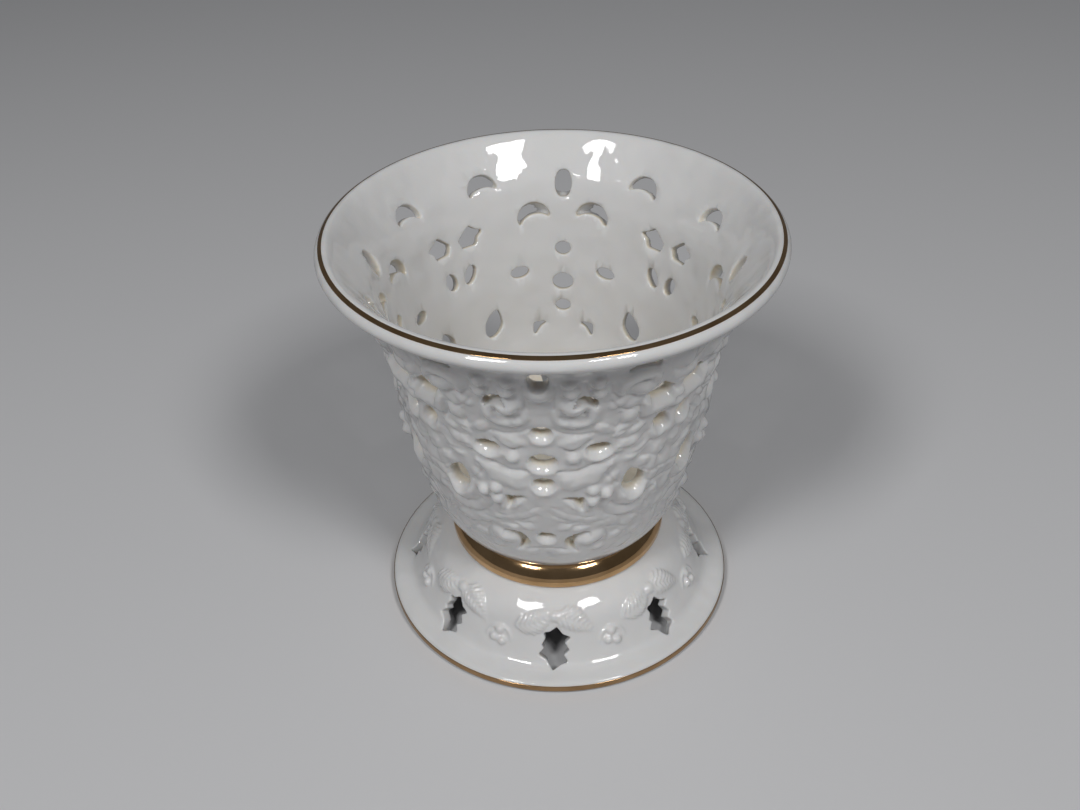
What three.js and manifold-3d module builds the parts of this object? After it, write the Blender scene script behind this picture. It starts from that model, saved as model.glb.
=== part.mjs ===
// Pierced china votive candle holder: a bell-shaped cup on a spreading hollow foot.
// Millimetres, +Z up, origin on the table under the middle of the foot, front panel towards -Y.
import * as THREE from 'three';
import { mergeVertices } from 'three/addons/utils/BufferGeometryUtils.js';
import Module from 'manifold-3d';

const wasm = await Module();
wasm.setup();

// Making
const turns = 36; // flats round every turned form
const panels = 4; // like panels of lace round the cup
const panelTurn = -4.5; // degrees from the front to the middle of the first panel
const leaves = 8; // holly leaves cut round the foot
const leafTurn = -2; // degrees from the front to the middle of the first leaf
const glazeGap = 0.05; // clearance left at every seat

// Foot, heights above the table
const footEdgeRadius = 46.5;
const footEdgeHeight = 3.4;
const footRestOuter = 45.6;
const footRestInner = 43.2;
const footArch = 1; // height of the flange's underside inside the rest ring
const footFilletRadius = 41.2;
const footFilletHeight = 4.2;
const footShoulderRadius = 35;
const footShoulderHeight = 14;
const footShoulderSwell = 0.6; // how far the shoulder rounds out of a straight cone
const footCrownLedge = 2.2; // how far the crown reaches out past the neck
const footCrownHeight = 19.4;
const footWall = 3;
const crownLand = 5.3; // width of the crown's top, from the neck's radius in to the hole

// Joint at the waist
const neckRadius = 25.8; // of the cup's base ring, and of the register on the crown below it
const registerHeight = 0.5;
const slipThickness = 0.5;
const slipWidth = 2.6;
const beadHeight = 6;
const beadBulge = 1.5;
const beadLowerWidth = 1.8; // of the bead's flat ends, out from the neck's radius
const beadUpperWidth = 0.9;

// Bare outer wall of the cup, heights above the cup's own base
const neckHeight = 5.2;
const turnRadius = 30.2;
const turnHeight = 9.4;
const bowlRadius = 34.8;
const bowlHeight = 23.6;
const bellyRadius = 38.9;
const bellyHeight = 49.6;
const flareRadius = 41.3;
const flareHeight = 64.6;
const throatRadius = 45.4;
const throatHeight = 77.6;
const cupWall = 3;
const floorThickness = 3;
const floorRecess = 3.6; // hollow under the floor, inside the base ring
const candleSeatRadius = 22;

// Lip
const lipUnderHeight = 80.3;
const lipUnderRadius = 48.4;
const lipRadius = 53.7;
const lipRoundHeight = 85; // of the widest place
const lipRoundness = 2.5; // radius of the roll's outer side
const crestRadius = 51.2;
const crestHeight = 87.7;
const crestRoundness = 0.9; // how far the crest's inner side is taken off

// Gold lines
const goldThickness = 0.3;
const rimLineWidth = 1.2;
const rimLineRadius = 52; // of its middle
const rimLineDrop = 0.55; // of its middle below the crest
const footLineHeight = 1;
const footLineWidth = 1.8;

// Lace panel
const panelFoot = 15; // height of the panel's lowest row above the cup's own base
const panelDrawn = 62; // height that the rows are drawn to, which the wall stretches to the throat
const archDip = 8; // degrees below level that the ends of an arch reach
const mouthFlare = 1.1; // how much further a piercing reaches outside than inside, on each side
const reliefHeight = 1;
const leafRelief = 0.8; // of the leaves moulded on the foot

const cupSeat = footCrownHeight + registerHeight + slipThickness;
const footCrownRadius = neckRadius + footCrownLedge;
const crownHoleRadius = neckRadius - crownLand;
const degrees = Math.PI / 180;

// Solids and profiles

function solidOf(geometry) {
  const bare = new THREE.BufferGeometry();
  bare.setAttribute('position', geometry.getAttribute('position'));
  bare.setIndex(geometry.getIndex());
  const merged = mergeVertices(bare, 1e-4);
  return new wasm.Manifold(new wasm.Mesh({
    numProp: 3,
    vertProperties: Float32Array.from(merged.getAttribute('position').array),
    triVerts: Uint32Array.from(merged.getIndex().array),
  }));
}

function geometryOf(solid) {
  const { vertProperties, triVerts } = solid.getMesh();
  const geometry = new THREE.BufferGeometry();
  geometry.setAttribute('position', new THREE.BufferAttribute(vertProperties, 3));
  geometry.setIndex(new THREE.BufferAttribute(triVerts, 1));
  const faceted = geometry.toNonIndexed();
  faceted.computeVertexNormals();
  return faceted;
}

// Revolve [radius, height] points, which run anticlockwise with radius to the right and height up
function turned(points) {
  const profile = points.map(([radius, height]) => new THREE.Vector2(radius, height));
  return new THREE.LatheGeometry(profile, turns).rotateX(Math.PI / 2);
}

function turnedRing(points) {
  return turned([...points, points[0]]);
}

function extruded(outline, depth) {
  const shape = new THREE.Shape(outline.map(([x, y]) => new THREE.Vector2(x, y)));
  return new THREE.ExtrudeGeometry(shape, { depth, bevelEnabled: false, steps: 1 });
}

// Points along an arc of an ellipse, from one angle to another in degrees
function arc(x, y, across, up, from, to, steps) {
  return Array.from({ length: steps + 1 }, (_, i) => {
    const angle = (from + (to - from) * i / steps) * degrees;
    return [x + across * Math.cos(angle), y + up * Math.sin(angle)];
  });
}

// A point moved square off the line from one point to the next, to the left by a distance
function squareOff(point, from, to, distance) {
  const [dx, dy] = [to[0] - from[0], to[1] - from[1]];
  const length = Math.hypot(dx, dy);
  return [point[0] - distance * dy / length, point[1] + distance * dx / length];
}

// An open profile's other side, one wall thickness to the left of it
function otherSide(points, thickness) {
  return points.map((point, i) => {
    const before = points[Math.max(i - 1, 0)];
    const after = points[Math.min(i + 1, points.length - 1)];
    return squareOff(point, before, after, thickness);
  });
}

function mirrored(outline, side) {
  return side > 0 ? outline : outline.map(([x, y]) => [-x, y]).reverse();
}

// Bare outer wall of the cup: a smooth curve through its named stations

const wallStations = [
  [neckRadius, neckHeight],
  [turnRadius, turnHeight],
  [bowlRadius, bowlHeight],
  [bellyRadius, bellyHeight],
  [flareRadius, flareHeight],
  [throatRadius, throatHeight],
  [lipUnderRadius, lipUnderHeight],
];

function stationSlope(i) {
  const below = wallStations[Math.max(i - 1, 0)];
  const above = wallStations[Math.min(i + 1, wallStations.length - 1)];
  return (above[0] - below[0]) / (above[1] - below[1]);
}

function wallRadius(height) {
  const above = wallStations.findIndex((station) => station[1] > height);
  const i = above < 0 ? wallStations.length - 2 : Math.max(above - 1, 0);
  const [lowRadius, lowHeight] = wallStations[i];
  const [highRadius, highHeight] = wallStations[i + 1];
  const span = highHeight - lowHeight;
  const t = (height - lowHeight) / span;
  const ease = t * t * (3 - 2 * t);
  const leave = stationSlope(i) * span * t * (1 - t) ** 2;
  const arrive = stationSlope(i + 1) * span * t * t * (1 - t);
  return lowRadius + (highRadius - lowRadius) * ease + leave - arrive;
}

// How far the wall leans out for each millimetre of height
function wallLean(height) {
  return wallRadius(height + 0.5) - wallRadius(height - 0.5);
}

// The point of the inner wall that faces the outer wall at this height
function innerPoint(height) {
  const lean = wallLean(height);
  const square = Math.hypot(1, lean);
  return [wallRadius(height) - cupWall / square, height + cupWall * lean / square];
}

// A frame on a wall of revolution: x across, y up the wall, z out of it, in front and then turned
function frameOnWall(bearing, radius, height, lean) {
  const out = new THREE.Vector3(0, -1, -lean).normalize();
  const across = new THREE.Vector3(1, 0, 0);
  const up = new THREE.Vector3().crossVectors(out, across);
  const frame = new THREE.Matrix4().makeBasis(across, up, out);
  frame.setPosition(0, -radius, height);
  return new THREE.Matrix4().makeRotationZ(bearing * degrees).multiply(frame);
}

// Outlines of the piercings as they open on the inside of the wall

function ovalOutline(width, height, sides) {
  return arc(0, 0, width / 2, height / 2, 180 / sides, 360 + 180 / sides, sides).slice(0, sides);
}

// A pointed oval
function spearOutline(width, height) {
  const side = [[width / 2, -height * 0.14], [width / 2, height * 0.14]];
  const back = side.map(([x, y]) => [-x, y]).reverse();
  return [[0, -height / 2], ...side, [0, height / 2], ...back];
}

// A drop, round below and drawn to a point above
function dropOutline(width, height) {
  const round = arc(0, -height * 0.12, width / 2, height * 0.38, -170, -10, 3);
  return [...round, [width * 0.34, height * 0.14], [0, height / 2], [-width * 0.34, height * 0.14]];
}

// An arch, which is a crescent with its horns down, over a tongue that stays
function archOutline(radius, thickness) {
  const tongue = radius - thickness;
  return [
    ...arc(0, 0, radius, radius, -archDip, 180 + archDip, 4),
    [-radius * 0.45, tongue * 0.7],
    [0, tongue],
    [radius * 0.45, tongue * 0.7],
  ];
}

// A kite with one long corner pointing to the middle of the panel
function kiteOutline(width, height) {
  return [[-width * 0.2, -height / 2], [width * 0.38, -height / 2], [width / 2, -height * 0.07],
    [0, height / 2], [-width / 2, height * 0.1], [-width * 0.28, -height * 0.14]];
}

// A three-cornered cut with its point down
function wedgeOutline(width, height) {
  return [[width / 2, -height / 2], [width * 0.42, height * 0.42], [-width / 2, height / 2], [0, 0]];
}

// Piercings of half a panel: outline, degrees from the panel's middle, row, tilt in degrees
const piercings = [
  { outline: spearOutline(4.2, 6.8), across: 0, row: 61.6, tilt: 0 },
  { outline: archOutline(4.35, 3), across: 11.1, row: 53.2, tilt: -14 },
  { outline: archOutline(4.1, 2.8), across: 29.1, row: 61.6, tilt: -8 },
  { outline: kiteOutline(7.4, 5.6), across: 37.5, row: 52, tilt: 0 },
  { outline: ovalOutline(4, 3.6, 6), across: 0, row: 45, tilt: 0 },
  { outline: spearOutline(3.2, 5.3), across: 40.3, row: 41.8, tilt: 24 },
  { outline: ovalOutline(5, 3.2, 6), across: 18.3, row: 38.9, tilt: -8 },
  { outline: ovalOutline(5.5, 4.8, 6), across: 0, row: 35.6, tilt: 0 },
  { outline: ovalOutline(4.1, 3.4, 6), across: 0, row: 28.5, tilt: 0 },
  { outline: dropOutline(5.2, 8.3), across: 32.1, row: 25.4, tilt: 16 },
  { outline: wedgeOutline(3.6, 4), across: 11, row: 21.9, tilt: 0 },
  { outline: ovalOutline(3.6, 2.8, 6), across: 0, row: 9.2, tilt: 0 },
  { outline: archOutline(3.9, 1.9), across: 14.6, row: 6.2, tilt: 72 },
];

// What a piercing takes away: its outline right through a wall, wider towards the outside
function piercing(outline, wall, flare) {
  const clear = wall + 1;
  const tool = extruded(outline, 2 * clear).translate(0, 0, -clear);
  const reach = Math.max(...outline.map(([x, y]) => Math.hypot(x, y)));
  const position = tool.getAttribute('position');
  for (let i = 0; i < position.count; i += 1) {
    const grow = 1 + flare / reach * (position.getZ(i) + wall) / wall;
    position.setX(i, position.getX(i) * grow);
    position.setY(i, position.getY(i) * grow);
  }
  return tool;
}

// Raised forms, drawn in the wall's frame and sunk into it by their lower half

function boss(width, height, rise) {
  return new THREE.SphereGeometry(1, 6, 4).rotateX(Math.PI / 2).scale(width / 2, height / 2, rise);
}

function berry(size, rise) {
  return new THREE.SphereGeometry(1, 5, 3).rotateX(Math.PI / 2).scale(size / 2, size / 2, rise);
}

// A leaf blade, drawn in to a flat ridge above its outline
function blade(length, width, rise) {
  const side = [[-length * 0.2, -width / 2], [length * 0.2, -width * 0.42]];
  const back = side.map(([x, y]) => [x, -y]).reverse();
  const outline = [[-length / 2, 0], ...side, [length / 2, 0], ...back];
  const form = extruded(outline, 2 * rise).translate(0, 0, -rise);
  const position = form.getAttribute('position');
  for (let i = 0; i < position.count; i += 1) {
    if (position.getZ(i) > 0) {
      position.setX(i, position.getX(i) * 0.85);
      position.setY(i, position.getY(i) * 0.45);
    }
  }
  return form;
}

// A scroll's band, which curls round below its boss
function scroll(radius, width, rise) {
  const inside = radius - width;
  const outline = [...arc(0, 0, radius, radius, 190, 350, 3), ...arc(0, 0, inside, inside, 350, 190, 3)];
  return extruded(outline, 2 * rise).translate(0, 0, -rise);
}

// Relief of half a panel, placed as the piercings are
const relief = [
  { form: boss(5, 4.2, 1.3 * reliefHeight), across: 10, row: 51.4, tilt: 0 },
  { form: scroll(5.6, 1.9, 0.8 * reliefHeight), across: 10.8, row: 51, tilt: 0 },
  { form: blade(11, 5, 0.9 * reliefHeight), across: 17, row: 30.8, tilt: 38 },
  { form: berry(2.7, 1.4 * reliefHeight), across: 21.3, row: 23, tilt: 0 },
  { form: berry(2.7, 1.4 * reliefHeight), across: 17.1, row: 24.6, tilt: 0 },
];

// How much higher the inner wall stands than the outer wall that it faces
function innerRise(height) {
  return innerPoint(height)[1] - height;
}

// A solid for every copy of the listed forms, on both halves of every panel round the cup
function roundTheCup(list, makeForm, settle) {
  const copies = [];
  for (let panel = 0; panel < panels; panel += 1) {
    for (const item of list) {
      for (const side of item.across === 0 ? [1] : [1, -1]) {
        const bearing = panelTurn + panel * 360 / panels + side * item.across;
        const drawn = panelFoot + item.row * (throatHeight - panelFoot) / panelDrawn;
        const height = drawn - settle(drawn);
        const form = makeForm(item, side).rotateZ(side * item.tilt * degrees);
        form.applyMatrix4(frameOnWall(bearing, wallRadius(height), height, wallLean(height)));
        copies.push(solidOf(form));
      }
    }
  }
  return copies;
}

// Lip, with the shallow seat of its gold line

function rimLineEnds() {
  const half = rimLineWidth / 2 * Math.SQRT1_2;
  const middle = crestHeight - rimLineDrop;
  return [[rimLineRadius + half, middle - half], [rimLineRadius - half, middle + half]];
}

function rimSeat() {
  const [lower, upper] = rimLineEnds();
  const depth = goldThickness + glazeGap;
  return [lower, squareOff(lower, lower, upper, depth), squareOff(upper, lower, upper, depth), upper];
}

function lipProfile() {
  return [
    [lipUnderRadius, lipUnderHeight],
    ...arc(lipRadius - lipRoundness, lipRoundHeight, lipRoundness, lipRoundness, -70, 0, 2),
    ...rimSeat(),
    [crestRadius, crestHeight],
    [crestRadius - crestRoundness, crestHeight - crestRoundness],
  ];
}

// Pierced cup

function cupProfile() {
  const bowlStart = (turnHeight + bowlHeight) / 2;
  const bowlMiddle = (bowlHeight + bellyHeight) / 2;
  const throatStart = (flareHeight + throatHeight) / 2;
  const outside = [bowlStart, bowlHeight, bowlMiddle, bellyHeight, flareHeight, throatStart, throatHeight];
  const inside = [lipUnderHeight, throatStart, flareHeight, bellyHeight, bowlHeight, turnHeight];
  const baseInner = neckRadius - cupWall;
  const floorTop = floorRecess + floorThickness;
  return [
    [0, floorRecess],
    [baseInner, floorRecess],
    [baseInner, 0],
    [neckRadius, 0],
    [neckRadius, neckHeight],
    [turnRadius, turnHeight],
    ...outside.map((height) => [wallRadius(height), height]),
    ...lipProfile(),
    ...inside.map(innerPoint),
    [neckRadius - 0.6, floorTop + 2],
    [candleSeatRadius, floorTop],
    [0, floorTop],
  ];
}

function piercedCup() {
  const forms = roundTheCup(relief, (item) => item.form.clone(), () => 0);
  const tools = roundTheCup(piercings, (item, side) => (
    piercing(mirrored(item.outline, side), cupWall, mouthFlare)
  ), innerRise);
  const raised = forms.reduce((cup, form) => cup.add(form), solidOf(turned(cupProfile())));
  return geometryOf(tools.reduce((cup, tool) => cup.subtract(tool), raised));
}

// Pierced foot

function footWallProfile() {
  const middle = [(footShoulderRadius + footCrownRadius) / 2, (footShoulderHeight + footCrownHeight) / 2];
  const shoulder = [footShoulderRadius, footShoulderHeight];
  const crown = [footCrownRadius, footCrownHeight];
  return [
    [footFilletRadius, footFilletHeight],
    shoulder,
    squareOff(middle, shoulder, crown, -footShoulderSwell),
    crown,
  ];
}

function footProfile() {
  const wall = footWallProfile();
  const inside = otherSide(wall, footWall).reverse();
  const seat = footEdgeRadius - goldThickness - glazeGap;
  return [
    [footRestInner, 0],
    [footRestOuter, 0],
    [footEdgeRadius, footLineHeight],
    [seat, footLineHeight],
    [seat, footLineHeight + footLineWidth],
    [footEdgeRadius, footLineHeight + footLineWidth],
    [footEdgeRadius - 0.8, footEdgeHeight],
    [footFilletRadius + 2, footEdgeHeight + 0.2],
    ...wall,
    [neckRadius, footCrownHeight],
    [neckRadius, footCrownHeight + registerHeight],
    [crownHoleRadius, footCrownHeight + registerHeight],
    [crownHoleRadius, footCrownHeight + registerHeight - footWall],
    ...inside,
    [footRestInner - 1, footArch],
  ];
}

// A holly leaf with three points each side, leaning to the left as it grows
const hollyLeaf = [
  [0.4, 5.2], [-2.7, 3.6], [-2.2, 2.1], [-3.1, 0.3], [-2.5, -0.7], [-3.8, -2.3],
  [-0.5, -5.3], [2.7, -3.8], [1.9, -2.3], [3.1, -1], [2.1, 0.8], [3.5, 2.3],
];

// The straight wall of the foot between fillet and shoulder, a share of the way up it
function frameOnFoot(bearing, share) {
  const rise = footShoulderHeight - footFilletHeight;
  const lean = (footShoulderRadius - footFilletRadius) / rise;
  const radius = footFilletRadius + lean * rise * share;
  return frameOnWall(bearing, radius, footFilletHeight + rise * share, lean);
}

function piercedFoot() {
  let foot = solidOf(turnedRing(footProfile()));
  for (let leaf = 0; leaf < leaves; leaf += 1) {
    const bearing = leafTurn + leaf * 360 / leaves;
    for (const side of [1, -1]) {
      const spray = blade(8.5, 3.6, leafRelief).rotateZ(-side * 26 * degrees);
      spray.applyMatrix4(frameOnFoot(bearing + side * 7, 1.02));
      foot = foot.add(solidOf(spray));
    }
    const cut = piercing(hollyLeaf, footWall, 0.2).applyMatrix4(frameOnFoot(bearing, 0.42));
    foot = foot.subtract(solidOf(cut));
  }
  return geometryOf(foot);
}

// Joint

function lutingSlip() {
  const outer = neckRadius - glazeGap;
  const inner = outer - slipWidth;
  return turnedRing([[inner, 0], [outer, 0], [outer, slipThickness], [inner, slipThickness]]);
}

function waistBead() {
  const bore = neckRadius + glazeGap;
  const half = beadHeight / 2;
  const round = arc(0, half, beadBulge, half, -90, 90, 6).map(([bulge, height]) => {
    const width = beadLowerWidth + (beadUpperWidth - beadLowerWidth) * height / beadHeight;
    return [neckRadius + width + bulge, height];
  });
  return turnedRing([[bore, 0], ...round, [bore, beadHeight]]);
}

// Gold

function goldRimLine() {
  const [lower, upper] = rimLineEnds();
  return turnedRing([
    lower,
    upper,
    squareOff(upper, lower, upper, goldThickness),
    squareOff(lower, lower, upper, goldThickness),
  ]);
}

function goldFootLine() {
  const inside = footEdgeRadius - goldThickness;
  return turnedRing([
    [inside, 0],
    [footEdgeRadius, 0],
    [footEdgeRadius, footLineWidth],
    [inside, footLineWidth],
  ]);
}

// Assembly

const china = new THREE.MeshStandardMaterial({ color: 0xe6e2d8, roughness: 0.12, metalness: 0 });
const bareClay = new THREE.MeshStandardMaterial({ color: 0xd8d2c4, roughness: 0.8, metalness: 0 });
const gold = new THREE.MeshStandardMaterial({ color: 0xc79a4b, roughness: 0.15, metalness: 1 });

const holder = new THREE.Group();

function place(name, geometry, material, height) {
  const mesh = new THREE.Mesh(geometry, material);
  mesh.name = name;
  mesh.position.z = height;
  holder.add(mesh);
}

place('pierced_foot', piercedFoot(), china, 0);
place('gold_foot_line', goldFootLine(), gold, footLineHeight);
place('luting_slip', lutingSlip(), bareClay, footCrownHeight + registerHeight);
place('waist_bead', waistBead(), gold, footCrownHeight);
place('pierced_cup', piercedCup(), china, cupSeat);
place('gold_rim_line', goldRimLine(), gold, cupSeat);

export default holder;
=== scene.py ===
import math

import bpy
import numpy as np
from mathutils import Matrix, Vector, noise


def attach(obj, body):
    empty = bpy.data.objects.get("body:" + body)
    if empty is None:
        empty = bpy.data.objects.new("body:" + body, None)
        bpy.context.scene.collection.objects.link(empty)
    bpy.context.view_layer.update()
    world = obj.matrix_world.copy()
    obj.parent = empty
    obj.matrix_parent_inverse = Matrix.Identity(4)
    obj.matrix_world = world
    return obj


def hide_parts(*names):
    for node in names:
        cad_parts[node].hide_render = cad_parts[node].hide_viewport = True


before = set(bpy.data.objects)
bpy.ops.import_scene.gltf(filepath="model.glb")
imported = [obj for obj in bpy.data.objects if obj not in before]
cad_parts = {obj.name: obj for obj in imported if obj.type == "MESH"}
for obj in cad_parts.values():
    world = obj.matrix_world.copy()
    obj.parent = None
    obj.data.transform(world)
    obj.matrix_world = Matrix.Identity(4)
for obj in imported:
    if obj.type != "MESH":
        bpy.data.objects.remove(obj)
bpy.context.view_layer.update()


# Camera: held by hand about a third of a metre away, looking down into the cup from
# the front, with the horizon tipped a little under two degrees.
CAMERA_DISTANCE = 0.32027
CAMERA_ELEVATION = math.radians(45.658)
CAMERA_YAW = math.radians(-0.9951)
CAMERA_PITCH = math.radians(37.6449)
CAMERA_ROLL = math.radians(-1.859)
SENSOR_WIDTH = 36.0
FOCAL_LENGTH = 37.053

bpy.ops.object.camera_add()
camera = bpy.context.object
camera.name = "camera"
camera.data.sensor_width = SENSOR_WIDTH
camera.data.lens = FOCAL_LENGTH
camera.data.clip_start = 0.01
camera.matrix_world = (
    Matrix.Translation((0, -CAMERA_DISTANCE * math.cos(CAMERA_ELEVATION),
                        CAMERA_DISTANCE * math.sin(CAMERA_ELEVATION)))
    @ Matrix.Rotation(-CAMERA_YAW, 4, "Z")
    @ Matrix.Rotation(math.pi / 2 - CAMERA_PITCH, 4, "X")
    @ Matrix.Rotation(CAMERA_ROLL, 4, "Z")
)
bpy.context.scene.camera = camera


# Pierced foot: a slip-cast china flange under a short cone, hollow and open below.
# Eight holly leaves are cut through the cone, and pairs of ribbed leaves and threes of
# berries are moulded on it. It is glazed in one firing with the cup.
MM = 0.001  # sizes of the china and the gold are in millimetres
FOOT_OUTSIDE = [  # radius and height, from the rest ring up to the crown
    (43.2, 0.0), (45.6, 0.0), (46.15, 0.4), (46.42, 0.95), (46.5, 1.6), (46.5, 2.4), (46.45, 2.75),
    (46.15, 3.1), (45.4, 3.38), (43.6, 3.6), (42.3, 3.82), (41.3, 4.15), (40.5, 4.7), (39.6, 5.9),
    (38.5, 7.6), (37.2, 9.9), (36.1, 11.9), (35.0, 13.8), (33.9, 15.2), (32.6, 16.4), (30.6, 17.8),
    (28.6, 18.9), (27.6, 19.36), (25.8, 19.4), (25.8, 19.88), (20.5, 19.9),
]
FOOT_INSIDE = [  # back down from the crown's hole to the rest ring
    (20.5, 16.9), (26.0, 16.6), (30.0, 14.6), (32.4, 12.4), (34.4, 9.5), (36.6, 5.0), (38.4, 2.5),
    (39.6, 1.6), (41.4, 1.05), (42.6, 0.85), (43.0, 0.4), (43.2, 0.0),
]
FOOT_LEAVES = 8
FOOT_LEAF_TURN = -2.0
FOOT_OUTSIDE_SPACING = 0.5
FOOT_INSIDE_SPACING = 0.7
FOOT_STEPS = 240  # round the axis
FOOT_GRAIN = 0.29  # the finest form that the relief keeps
FOOT_SOFTENING = 2  # passes
FOOT_TRIANGLES = 180000
WELD = 2e-6


def spun(name, outline, steps):
    """Turns an outline of radii and heights about the axis."""
    bpy.ops.object.select_all(action="DESELECT")
    bpy.ops.mesh.primitive_plane_add(size=MM)
    piece = bpy.context.object
    piece.name = name
    bpy.ops.object.mode_set(mode="EDIT")
    bpy.ops.mesh.merge(type="CENTER")
    bpy.ops.transform.translate(value=(outline[0][0] * MM, 0, outline[0][1] * MM))
    for (r0, z0), (r1, z1) in zip(outline, outline[1:]):
        step = ((r1 - r0) * MM, 0, (z1 - z0) * MM)
        bpy.ops.mesh.extrude_vertices_move(TRANSFORM_OT_translate={"value": step})
    bpy.ops.mesh.select_all(action="SELECT")
    bpy.ops.mesh.spin(steps=steps, angle=2 * math.pi, center=(0, 0, 0), axis=(0, 0, 1))
    bpy.ops.mesh.select_all(action="SELECT")
    bpy.ops.mesh.remove_doubles(threshold=WELD)
    bpy.ops.mesh.normals_make_consistent(inside=False)
    bpy.ops.object.mode_set(mode="OBJECT")
    return piece


def refined(outline, spacing):
    """A smooth curve through the outline's points, as points about this far apart."""
    points = np.array(outline, float)
    length = np.concatenate([[0], np.cumsum(np.hypot(*np.diff(points, axis=0).T))])
    count = max(int(length[-1] / spacing), 8)
    slope = np.gradient(points, length, axis=0)
    at = np.linspace(0, length[-1], count + 1)
    i = np.clip(np.searchsorted(length, at, side="right") - 1, 0, len(points) - 2)
    span = (length[i + 1] - length[i])[:, None]
    t = ((at - length[i])[:, None]) / span
    curve = ((2 * t**3 - 3 * t**2 + 1) * points[i] + (t**3 - 2 * t**2 + t) * span * slope[i]
             + (3 * t**2 - 2 * t**3) * points[i + 1] + (t**3 - t**2) * span * slope[i + 1])
    return [tuple(p) for p in curve]


def points_of(piece):
    co = np.empty(len(piece.data.vertices) * 3)
    piece.data.vertices.foreach_get("co", co)
    return co.reshape(-1, 3)


def set_points(piece, co):
    piece.data.vertices.foreach_set("co", np.ascontiguousarray(co, dtype=np.float32).ravel())
    piece.data.update()


def ball(width, height, rise, fade=1.0):
    """A boss half sunk in the wall. With more fade, its shoulders run out more softly."""
    bpy.ops.object.select_all(action="DESELECT")
    bpy.ops.mesh.primitive_uv_sphere_add(segments=24, ring_count=16, radius=1)
    form = bpy.context.object
    co = points_of(form)
    co[:, 2] = np.where(co[:, 2] > 0, np.abs(co[:, 2]) ** fade, co[:, 2])
    set_points(form, co * [width / 2, height / 2, rise])
    return form


MIDRIB_SHARE = 0.14  # of the leaf's width
RIB_SLANT = 0.9
EDGE_WAVE = 0.12


def leaf(length, width, rise, vein=0.45, ribs=0, bend=0.0, wave_rise=0.3):
    """A pointed blade along x, with a sunk midrib and slanting side ribs."""
    form = ball(2, 2, 1, 1.5)
    form.data.transform(Matrix.Rotation(math.pi / 2, 4, "Y"))
    if ribs:
        bpy.ops.object.mode_set(mode="EDIT")
        bpy.ops.mesh.select_all(action="SELECT")
        bpy.ops.mesh.subdivide(number_cuts=2, smoothness=1)
        bpy.ops.object.mode_set(mode="OBJECT")
    co = points_of(form)
    t = np.clip(co[:, 0], -1, 1)
    pinch = (1 - t**2 + 1e-6) ** 0.3 * (1 - 0.25 * t)  # fuller towards the stalk
    x = t * length / 2
    y = co[:, 1] * pinch * width / 2
    z = co[:, 2] * pinch * rise
    crown = np.clip(co[:, 2], 0, 1)
    z -= crown * vein * rise * np.exp(-(y / (MIDRIB_SHARE * width)) ** 2)
    if ribs:
        wave = np.cos(2 * math.pi * ribs * (t / 2 - RIB_SLANT * np.abs(y) / length))
        z += crown * wave_rise * rise * wave
        y *= 1 + EDGE_WAVE * wave
    y += bend * (t**2 - 0.3)
    set_points(form, np.stack([x, y, z], axis=1))
    return form


VINE_END = 0.45  # of the thickness in the middle


def vine(points, thickness, rise):
    """A rounded band along a path of points, thinner at both ends."""
    bpy.ops.object.select_all(action="DESELECT")
    bpy.ops.curve.primitive_nurbs_path_add()
    path = bpy.context.object
    spline = path.data.splines[0]
    spline.points.add(len(points) - len(spline.points))
    for i, (point, (x, y)) in enumerate(zip(spline.points, points)):
        end = min(i, len(points) - 1 - i)
        point.co = (x, y, 0, 1)
        point.radius = VINE_END if end == 0 else 1
    spline.order_u = 3
    spline.resolution_u = 6
    path.data.bevel_depth = thickness / 2
    path.data.bevel_resolution = 3
    path.data.use_fill_caps = True
    bpy.ops.object.convert(target="MESH")
    form = bpy.context.object
    bpy.ops.object.mode_set(mode="EDIT")
    bpy.ops.mesh.select_all(action="SELECT")
    bpy.ops.mesh.remove_doubles(threshold=1e-5)
    bpy.ops.mesh.normals_make_consistent(inside=False)
    bpy.ops.object.mode_set(mode="OBJECT")
    co = points_of(form)
    co[:, 2] *= rise / (thickness / 2)
    set_points(form, co)
    return form


def joined(forms, name):
    bpy.ops.object.select_all(action="DESELECT")
    for form in forms:
        form.select_set(True)
    bpy.context.view_layer.objects.active = forms[0]
    bpy.ops.object.join()
    forms[0].name = name
    return forms[0]


def set_on(form, radius_at, across, height, tilt):
    """Lays a flat form in degrees round, height and rise, at a place on a wall."""
    co = points_of(form)
    turn = math.radians(tilt)
    u = co[:, 0] * math.cos(turn) - co[:, 1] * math.sin(turn)
    v = co[:, 0] * math.sin(turn) + co[:, 1] * math.cos(turn)
    lean = radius_at(height + 0.5) - radius_at(height - 0.5)
    up = height + v / math.hypot(1, lean)
    set_points(form, np.stack([across + np.degrees(u / radius_at(height)), up, co[:, 2]], axis=1))
    return form


def wrapped(forms, radius_at, turns, twins):
    """Bends forms laid by set_on round the axis, once for each turn, with their mirror twins."""
    corners, faces, count = [], [], 0
    for form in forms:
        co = points_of(form)
        sides = [tuple(face.vertices) for face in form.data.polygons]
        for flip in (1, -1) if twins else (1,):
            for turn in turns:
                angle = np.radians(co[:, 0] * flip + turn)
                lean = radius_at(co[:, 1] + 0.5) - radius_at(co[:, 1] - 0.5)
                square = np.hypot(1, lean)
                radius = radius_at(co[:, 1]) + co[:, 2] / square
                height = co[:, 1] - co[:, 2] * lean / square
                corners.append(np.stack([radius * np.sin(angle), -radius * np.cos(angle), height], axis=1))
                faces += [tuple(i + count for i in side[::flip]) for side in sides]
                count += len(co)
        bpy.data.objects.remove(form)
    mesh = bpy.data.meshes.new("forms")
    mesh.from_pydata((np.concatenate(corners) * MM).tolist(), [], faces)
    piece = bpy.data.objects.new("forms", mesh)
    bpy.context.collection.objects.link(piece)
    return piece


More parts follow.
